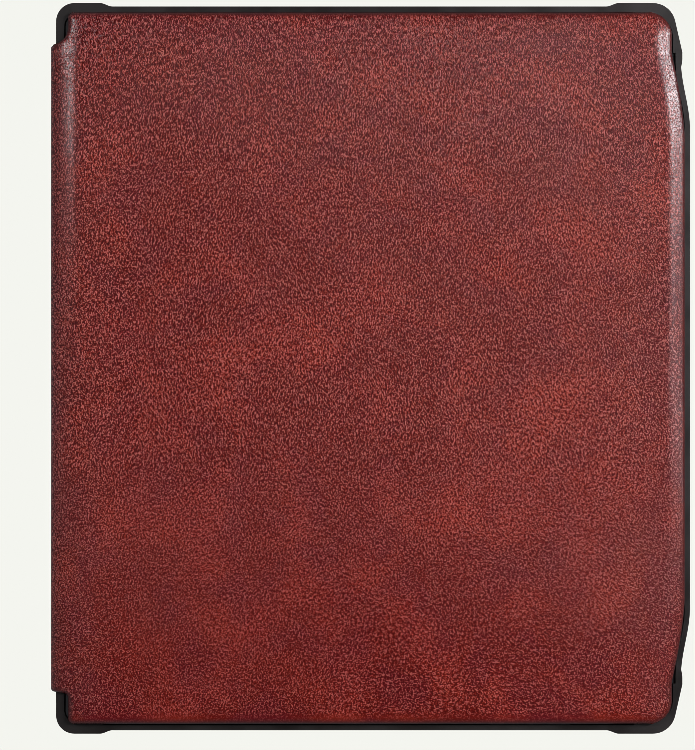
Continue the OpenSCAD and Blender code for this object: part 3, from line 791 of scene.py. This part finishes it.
def flap_right(off):
    """The flap's right edge bows out along the middle; off is the distance from the middle."""
    return FLAP_HIGH[0] - 2.85 * np.clip((off - 50) / 18.5, 0, 1) ** 1.5


def back_right(off):
    return BACK_HIGH[0] - 2.25 * smooth((off - 52.5) / 14.5)


FLAP = Skin("cover_skin", face=FLAP_HIGH[2], up=1, fold_r=4.0, left=SPINE_X + 3.85,
            low=FLAP_LOW[1], high=FLAP_HIGH[1], right=flap_right, corners=(1.3, 5.0),
            fillets={True: (74.6, 4.6), False: (72.0, 1.7)}, rim=(1.35, 0.7),
            thick=FLAP_HIGH[2] - FLAP_LOW[2], hem=((0.72, 0.0), (0.93, 0.06), (1.0, 0.3), (1.0, 1.15)),
            roll=(4.2, 1.5), uneven=1.0)
BACK = Skin("back_skin", face=BACK_LOW[2], up=-1, fold_r=1.7, left=BACK_LOW[0] + 0.1,
            low=BACK_LOW[1], high=BACK_HIGH[1], right=back_right, corners=(3.0, 6.0),
            fillets={True: (71.4, 0.7), False: (71.4, 0.7)}, rim=(0.4, 0.6),
            thick=BACK_HIGH[2] - BACK_LOW[2], hem=((0.8, 0.0), (1.0, 0.05)), roll=(0.8, 0.1), uneven=0.0)

cover_skin = FLAP.build()
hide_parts("cover_leather", "spine_leather")
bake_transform(cover_skin)

back_skin = BACK.build()
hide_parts("back_leather")
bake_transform(back_skin)

# ---------------------------------------------------------------- linings


def sheet_mesh(name, rows, material):
    """A grid of points in millimetres, given row by row, as a smooth mesh object."""
    rows = np.asarray(rows)
    mesh = bpy.data.meshes.new(name)
    mesh.from_pydata((rows.reshape(-1, 3) * MM).tolist(), [], grid_faces(0, rows.shape[0], rows.shape[1]))
    made = bpy.data.objects.new(name, mesh)
    bpy.context.scene.collection.objects.link(made)
    smooth_shaded(made)
    mesh.materials.append(material)
    return made


LINING_INSET = 0.75                        # the leather's hem shows by this much round the lining
LINING_Z = LINING_LOW[2] - 0.04


def flap_lining():
    """Microfibre glued over the inside of the flap, inside the leather's hem."""
    left, low, high = FLAP.left + LINING_INSET, FLAP.low + LINING_INSET, FLAP.high - LINING_INSET
    rows = []
    for y in graded(low, high, 1.6, 1.6, 1.6, 5):
        right = float(FLAP.right_edge(y)) - LINING_INSET
        x = left + (right - left) * graded(0, 1, 0.012)
        wave = 0.02 * np.sin(x / 7.3 + y / 19.0) * np.sin(y / 8.9)
        rows.append(np.stack([x, np.full_like(x, y), LINING_Z + wave], axis=1))
    lining = sheet_mesh("cover_lining_cloth", rows, MICROFIBRE)
    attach(lining, "flap")
    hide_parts("cover_lining")


def hinge_lining():
    """Strip of microfibre from inside the spine, over the tray's edge and under the flap."""
    inner = FLAP.fold_r - SPINE_T - 0.12
    mid_x, mid_z = FLAP.fold, FLAP.face - FLAP.fold_r
    path = [(mid_x - inner, z) for z in np.linspace(SPINE_LOW[2] + 0.5, mid_z, 12)]
    path += [(mid_x - inner * math.cos(a), mid_z + inner * math.sin(a)) for a in np.linspace(0.1, 1.05, 9)]
    top_x, top_z = path[-1]
    end_x, end_z = mid_x + 1.6, LINING_Z - 0.05
    for t in np.linspace(0.1, 1, 12):
        path.append((top_x + (end_x - top_x) * t, top_z + (end_z - top_z) * float(smooth(t))))
    path += [(x, end_z) for x in np.linspace(end_x + 0.8, end_x + 6.5, 7)]
    ends = SPINE_END - 0.9
    rows = [[(x, y, z) for x, z in path] for y in graded(-ends, ends, 1.5)]
    strip = sheet_mesh("hinge_lining_cloth", rows, MICROFIBRE)
    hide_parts("spine_lining")
    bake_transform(strip)


flap_lining()
hinge_lining()
